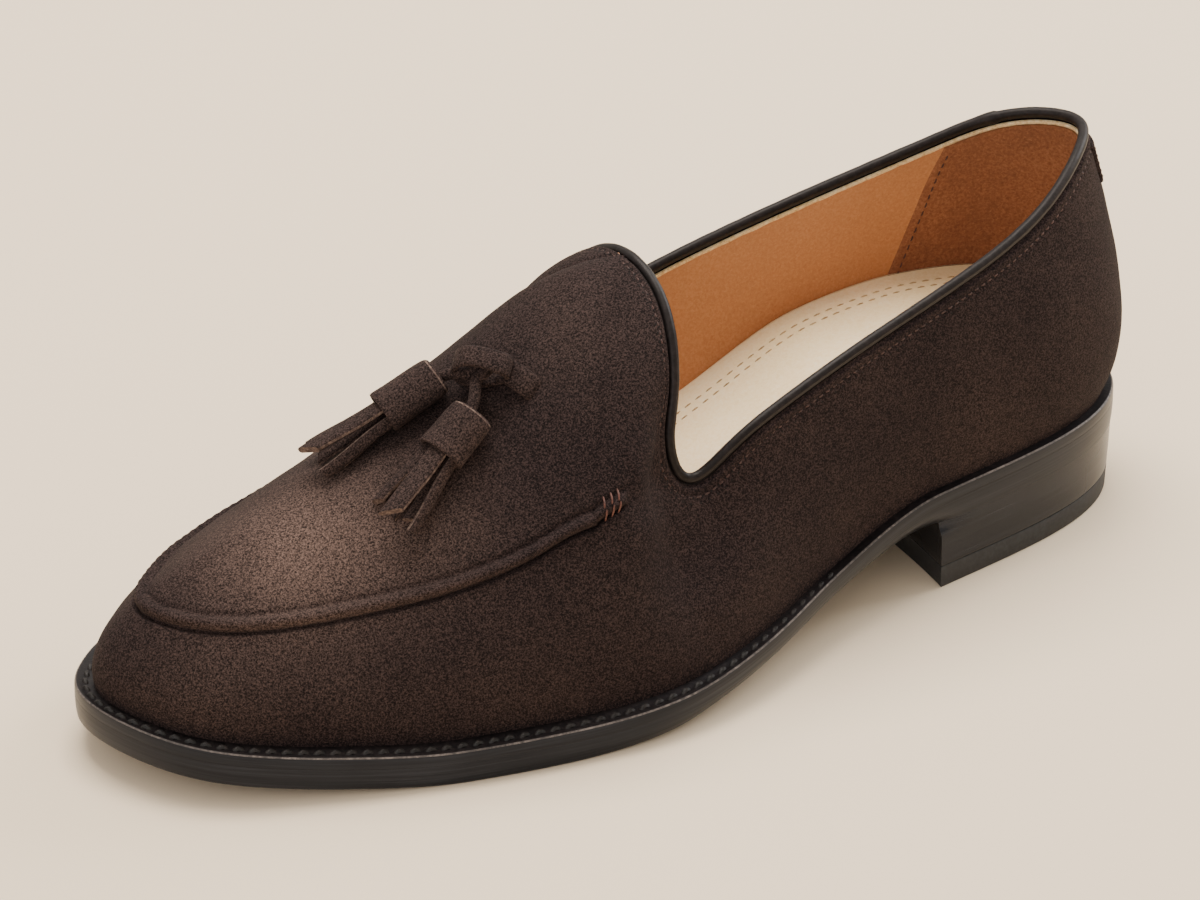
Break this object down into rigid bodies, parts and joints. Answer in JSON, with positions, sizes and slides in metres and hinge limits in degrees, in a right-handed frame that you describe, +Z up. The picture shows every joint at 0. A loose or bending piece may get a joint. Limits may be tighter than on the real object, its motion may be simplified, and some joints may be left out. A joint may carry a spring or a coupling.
{
  "type": "tassel loafer",
  "caption": "Left tassel loafer with a hollow suede upper, apron seam, piped collar, knotted tassels, welted sole and stacked heel.",
  "frame": {"origin": "centre of the heel's rest face on the floor plane", "axes": "+X towards the toe, +Y to the outer (little toe) side of this left shoe, +Z up"},
  "size_m": [0.2997, 0.1112, 0.1007],
  "materials": {
    "brown_suede": "dark brown suede with a short nap",
    "piping_leather": "smooth dark brown rolled leather",
    "black_edge": "black inked and burnished sole edge",
    "heel_leather": "polished black stacked leather",
    "heel_rubber": "matte black rubber",
    "insole_leather": "smooth cream leather"
  },
  "bodies": {
    "root": {"outsole": "black_edge", "welt": "black_edge", "heel_top_piece": "heel_rubber", "heel_lift_1": "heel_leather", "heel_lift_2": "heel_leather", "heel_lift_3": "heel_leather", "insole": "insole_leather", "upper": "brown_suede", "collar_piping": "piping_leather", "heel_tab": "brown_suede", "tassel_knot": "brown_suede", "tassel_left": "brown_suede", "tassel_right": "brown_suede"}
  },
  "joints": []
}
